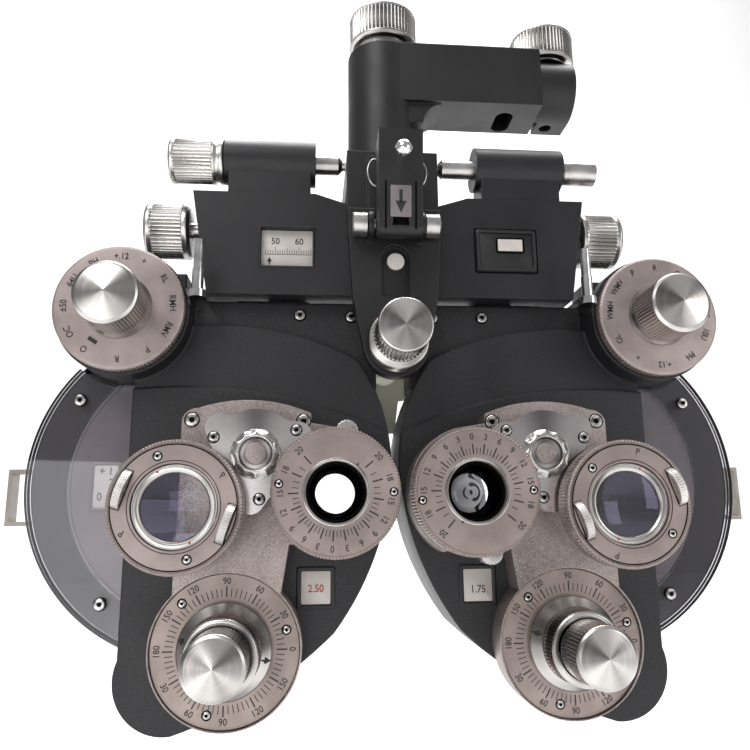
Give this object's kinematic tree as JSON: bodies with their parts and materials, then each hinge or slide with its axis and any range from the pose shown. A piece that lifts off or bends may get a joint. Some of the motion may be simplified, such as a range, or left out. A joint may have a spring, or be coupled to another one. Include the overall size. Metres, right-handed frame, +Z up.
{
  "type": "phoropter",
  "caption": "Manual phoropter: two refracting heads with lens dials, rotary prism and cross cylinder turrets, hung from a tilting, swivelling yoke on a mounting arm.",
  "frame": {"origin": "mouth of the bore in the mounting arm that takes the stand's pin, on the bore's axis", "axes": "+X along the stand bore, out of its mouth and across the instrument; +Y from the examiner's side towards the patient's side; +Z up"},
  "size_m": [0.32, 0.096, 0.3228],
  "materials": {
    "arm_casting": "aluminium casting, satin charcoal-black paint over a fine grain",
    "black_casting": "aluminium casting, satin black paint",
    "housing_paint": "aluminium casting, satin charcoal-black paint",
    "shell_paint": "aluminium casting, satin charcoal-black paint with a fine speckle",
    "clear_cover": "clear moulded acrylic",
    "face_silver": "bead-blasted, clear anodised",
    "dial_plate": "satin, warm grey, engraved scale",
    "turned_steel": "turned and nickel plated",
    "polished_steel": "polished, radially spun",
    "black_metal": "matt black anodised",
    "chrome_rod": "bright chrome",
    "rest_plastic": "pale moulded plastic"
  },
  "bodies": {
    "arm": {"mount_arm": "arm_casting"},
    "arm_clamp": {"arm_clamp_knob": "turned_steel"},
    "post_lock": {"post_lock_knob": "turned_steel"},
    "yoke": {"yoke_bracket": "black_casting", "rod_holder_pin": "turned_steel"},
    "rod_block": {"rod_holder": "turned_steel"},
    "rest_knob": {"forehead_knob": "turned_steel"},
    "rest_pad": {"forehead_rest": "rest_plastic"},
    "housing": {"pd_housing": "housing_paint"},
    "level_nut": {"level_knob": "turned_steel"},
    "level_pin": {"level_screw": "turned_steel"},
    "plunger": {"spring_plunger": "turned_steel"},
    "pd_drive": {"pd_knobs": "turned_steel", "pd_spindle": "turned_steel"},
    "left_carriage": {"left_pd_slide": "black_casting"},
    "left_head": {"left_front_shell": "shell_paint", "left_rear_shell": "shell_paint", "left_clear_cover": "clear_cover", "left_face_plate": "face_silver", "left_cyl_dial": "dial_plate", "left_head_screws": "turned_steel", "left_vergence_lever": "chrome_rod", "left_temple_sight": "chrome_rod"},
    "left_turret": {"left_turret_plate": "polished_steel", "left_prism_holder": "polished_steel", "left_jcc_holder": "polished_steel"},
    "left_jcc": {"left_jcc_cell": "dial_plate"},
    "left_jcc_lens": {"left_jcc_flip_ring": "turned_steel"},
    "left_prism": {"left_prism_dial": "dial_plate"},
    "left_prism_lens": {"left_prism_lens_ring": "black_metal"},
    "left_pinion": {"left_prism_pinion": "turned_steel"},
    "left_aux": {"left_aux_lens_disc": "black_metal"},
    "left_aux_hand": {"left_aux_dial": "turned_steel"},
    "left_sphere": {"left_sphere_wheel": "black_metal"},
    "left_cylinder": {"left_cylinder_disc": "black_metal"},
    "left_cyl_axis": {"left_cyl_axis_knob": "turned_steel"},
    "left_cyl_power": {"left_cyl_power_knob": "turned_steel"},
    "right_carriage": {"right_pd_slide": "black_casting"},
    "right_head": {"right_front_shell": "shell_paint", "right_rear_shell": "shell_paint", "right_clear_cover": "clear_cover", "right_face_plate": "face_silver", "right_cyl_dial": "dial_plate", "right_head_screws": "turned_steel", "right_vergence_lever": "chrome_rod", "right_temple_sight": "chrome_rod"},
    "right_turret": {"right_turret_plate": "polished_steel", "right_prism_holder": "polished_steel", "right_jcc_holder": "polished_steel"},
    "right_jcc": {"right_jcc_cell": "dial_plate"},
    "right_jcc_lens": {"right_jcc_flip_ring": "turned_steel"},
    "right_prism": {"right_prism_dial": "dial_plate"},
    "right_prism_lens": {"right_prism_lens_ring": "black_metal"},
    "right_pinion": {"right_prism_pinion": "turned_steel"},
    "right_aux": {"right_aux_lens_disc": "black_metal"},
    "right_aux_hand": {"right_aux_dial": "turned_steel"},
    "right_sphere": {"right_sphere_wheel": "black_metal"},
    "right_cylinder": {"right_cylinder_disc": "black_metal"},
    "right_cyl_axis": {"right_cyl_axis_knob": "turned_steel"},
    "right_cyl_power": {"right_cyl_power_knob": "turned_steel"}
  },
  "joints": [
    {"name": "yoke_swivel", "type": "hinge", "parent": "arm", "child": "yoke", "pos_m": [-0.092, 0.001, -0.034], "axis": [0, 0, 1], "range_deg": [-90, 90]},
    {"name": "post_lock_turn", "type": "hinge", "parent": "arm", "child": "post_lock", "pos_m": [-0.092, 0.001, 0.021], "axis": [0, 0, 1], "range_deg": [-360, 0]},
    {"name": "arm_clamp_turn", "type": "hinge", "parent": "arm", "child": "arm_clamp", "pos_m": [-0.01, 0.004, 0.021], "axis": [0, 0, 1], "range_deg": [-360, 0]},
    {"name": "rod_flip", "type": "hinge", "parent": "yoke", "child": "rod_block", "pos_m": [-0.092, -0.04175, -0.0896], "axis": [1, 0, 0], "range_deg": [0, 60]},
    {"name": "rest_slide", "type": "slide", "parent": "yoke", "child": "rest_pad", "axis": [0, 1, 0], "range_m": [0, 0.012]},
    {"name": "rest_turn", "type": "hinge", "parent": "yoke", "child": "rest_knob", "pos_m": [-0.092, -0.053, -0.1386], "axis": [0, 1, 0], "range_deg": [-10, 730]},
    {"name": "level_tilt", "type": "hinge", "parent": "yoke", "child": "housing", "pos_m": [-0.092, -0.023, -0.09], "axis": [0, 1, 0], "range_deg": [-2.5, 2.5]},
    {"name": "level_push", "type": "slide", "parent": "housing", "child": "level_pin", "axis": [1, 0, 0], "range_m": [-0.0018, 0.0018]},
    {"name": "plunger_push", "type": "slide", "parent": "housing", "child": "plunger", "axis": [1, 0, 0], "range_m": [-0.0018, 0.0018]},
    {"name": "level_turn", "type": "hinge", "parent": "housing", "child": "level_nut", "pos_m": [-0.172, -0.0215, -0.0535], "axis": [1, 0, 0], "range_deg": [-200, 200]},
    {"name": "pd_left", "type": "slide", "parent": "housing", "child": "left_carriage", "axis": [-1, 0, 0], "range_m": [0, 0.0125]},
    {"name": "pd_right", "type": "slide", "parent": "housing", "child": "right_carriage", "axis": [1, 0, 0], "range_m": [0, 0.0125]},
    {"name": "pd_turn", "type": "hinge", "parent": "housing", "child": "pd_drive", "pos_m": [-0.092, -0.008, -0.0807], "axis": [1, 0, 0], "range_deg": [-10, 910]},
    {"name": "left_converge", "type": "hinge", "parent": "left_carriage", "child": "left_head", "pos_m": [-0.137, -0.014, -0.119], "axis": [0, 0, 1], "range_deg": [0, 2]},
    {"name": "left_turret_turn", "type": "hinge", "parent": "left_head", "child": "left_turret", "pos_m": [-0.14596, -0.049, -0.184], "axis": [0, 1, 0], "range_deg": [-117.7, 110]},
    {"name": "left_jcc_turn", "type": "hinge", "parent": "left_turret", "child": "left_jcc", "pos_m": [-0.17207, -0.057, -0.20297], "axis": [0, 1, 0], "continuous": true},
    {"name": "left_jcc_flip", "type": "hinge", "parent": "left_jcc", "child": "left_jcc_lens", "pos_m": [-0.17207, -0.0612, -0.20297], "axis": [-0.9478, 0, 0.319], "range_deg": [0, 180]},
    {"name": "left_prism_turn", "type": "hinge", "parent": "left_turret", "child": "left_prism", "pos_m": [-0.11703, -0.057, -0.1983], "axis": [0, 1, 0], "continuous": true},
    {"name": "left_prism_set", "type": "hinge", "parent": "left_prism", "child": "left_prism_lens", "pos_m": [-0.11703, -0.057, -0.1983], "axis": [0, 1, 0], "range_deg": [-130, 130]},
    {"name": "left_pinion_turn", "type": "hinge", "parent": "left_prism", "child": "left_pinion", "pos_m": [-0.11323, -0.058, -0.17673], "axis": [0, 1, 0], "range_deg": [-400, 400]},
    {"name": "left_aux_turn", "type": "hinge", "parent": "left_head", "child": "left_aux", "pos_m": [-0.17, -0.001, -0.1924], "axis": [0, 1, 0], "continuous": true},
    {"name": "left_aux_hand_turn", "type": "hinge", "parent": "left_head", "child": "left_aux_hand", "pos_m": [-0.2008, -0.039, -0.1261], "axis": [0, 1, 0], "continuous": true},
    {"name": "left_sphere_turn", "type": "hinge", "parent": "left_head", "child": "left_sphere", "pos_m": [-0.17, -0.008, -0.1924], "axis": [0, 1, 0], "continuous": true},
    {"name": "left_cylinder_turn", "type": "hinge", "parent": "left_head", "child": "left_cylinder", "pos_m": [-0.1395, -0.021, -0.21], "axis": [0, 1, 0], "continuous": true},
    {"name": "left_cyl_axis_turn", "type": "hinge", "parent": "left_head", "child": "left_cyl_axis", "pos_m": [-0.1562, -0.048, -0.2535], "axis": [0, 1, 0], "continuous": true},
    {"name": "left_cyl_power_turn", "type": "hinge", "parent": "left_head", "child": "left_cyl_power", "pos_m": [-0.1562, -0.063, -0.2535], "axis": [0, 1, 0], "continuous": true},
    {"name": "right_converge", "type": "hinge", "parent": "right_carriage", "child": "right_head", "pos_m": [-0.047, -0.014, -0.119], "axis": [0, 0, -1], "range_deg": [0, 2]},
    {"name": "right_turret_turn", "type": "hinge", "parent": "right_head", "child": "right_turret", "pos_m": [-0.03804, -0.049, -0.184], "axis": [0, -1, 0], "range_deg": [-117.7, 110]},
    {"name": "right_jcc_turn", "type": "hinge", "parent": "right_turret", "child": "right_jcc", "pos_m": [-0.01193, -0.057, -0.20297], "axis": [0, -1, 0], "continuous": true},
    {"name": "right_jcc_flip", "type": "hinge", "parent": "right_jcc", "child": "right_jcc_lens", "pos_m": [-0.01193, -0.0612, -0.20297], "axis": [0.9478, 0, 0.319], "range_deg": [0, 180]},
    {"name": "right_prism_turn", "type": "hinge", "parent": "right_turret", "child": "right_prism", "pos_m": [-0.06697, -0.057, -0.1983], "axis": [0, -1, 0], "continuous": true},
    {"name": "right_prism_set", "type": "hinge", "parent": "right_prism", "child": "right_prism_lens", "pos_m": [-0.06697, -0.057, -0.1983], "axis": [0, -1, 0], "range_deg": [-130, 130]},
    {"name": "right_pinion_turn", "type": "hinge", "parent": "right_prism", "child": "right_pinion", "pos_m": [-0.06242, -0.058, -0.21972], "axis": [0, -1, 0], "range_deg": [-400, 400]},
    {"name": "right_aux_turn", "type": "hinge", "parent": "right_head", "child": "right_aux", "pos_m": [-0.014, -0.001, -0.1924], "axis": [0, -1, 0], "continuous": true},
    {"name": "right_aux_hand_turn", "type": "hinge", "parent": "right_head", "child": "right_aux_hand", "pos_m": [0.0168, -0.039, -0.1261], "axis": [0, -1, 0], "continuous": true},
    {"name": "right_sphere_turn", "type": "hinge", "parent": "right_head", "child": "right_sphere", "pos_m": [-0.014, -0.008, -0.1924], "axis": [0, -1, 0], "continuous": true},
    {"name": "right_cylinder_turn", "type": "hinge", "parent": "right_head", "child": "right_cylinder", "pos_m": [-0.0445, -0.021, -0.21], "axis": [0, -1, 0], "continuous": true},
    {"name": "right_cyl_axis_turn", "type": "hinge", "parent": "right_head", "child": "right_cyl_axis", "pos_m": [-0.0278, -0.048, -0.2535], "axis": [0, -1, 0], "continuous": true},
    {"name": "right_cyl_power_turn", "type": "hinge", "parent": "right_head", "child": "right_cyl_power", "pos_m": [-0.0278, -0.063, -0.2535], "axis": [0, -1, 0], "continuous": true}
  ],
  "couplings": [
    {"joint": "rest_turn", "follows": "rest_slide", "rad_per_m": 1047.2},
    {"joint": "level_push", "follows": "level_tilt", "m_per_rad": -0.0365},
    {"joint": "plunger_push", "follows": "level_tilt", "m_per_rad": -0.0365},
    {"joint": "level_turn", "follows": "level_tilt", "ratio": -76.4},
    {"joint": "pd_right", "follows": "pd_left", "ratio": 1},
    {"joint": "pd_turn", "follows": "pd_left", "rad_per_m": 1256.6},
    {"joint": "left_pinion_turn", "follows": "left_prism_set", "ratio": -3},
    {"joint": "left_aux_hand_turn", "follows": "left_aux_turn", "ratio": -1},
    {"joint": "left_cyl_power_turn", "follows": "left_cylinder_turn", "ratio": -1},
    {"joint": "right_pinion_turn", "follows": "right_prism_set", "ratio": -3},
    {"joint": "right_aux_hand_turn", "follows": "right_aux_turn", "ratio": -1},
    {"joint": "right_cyl_power_turn", "follows": "right_cylinder_turn", "ratio": -1}
  ]
}
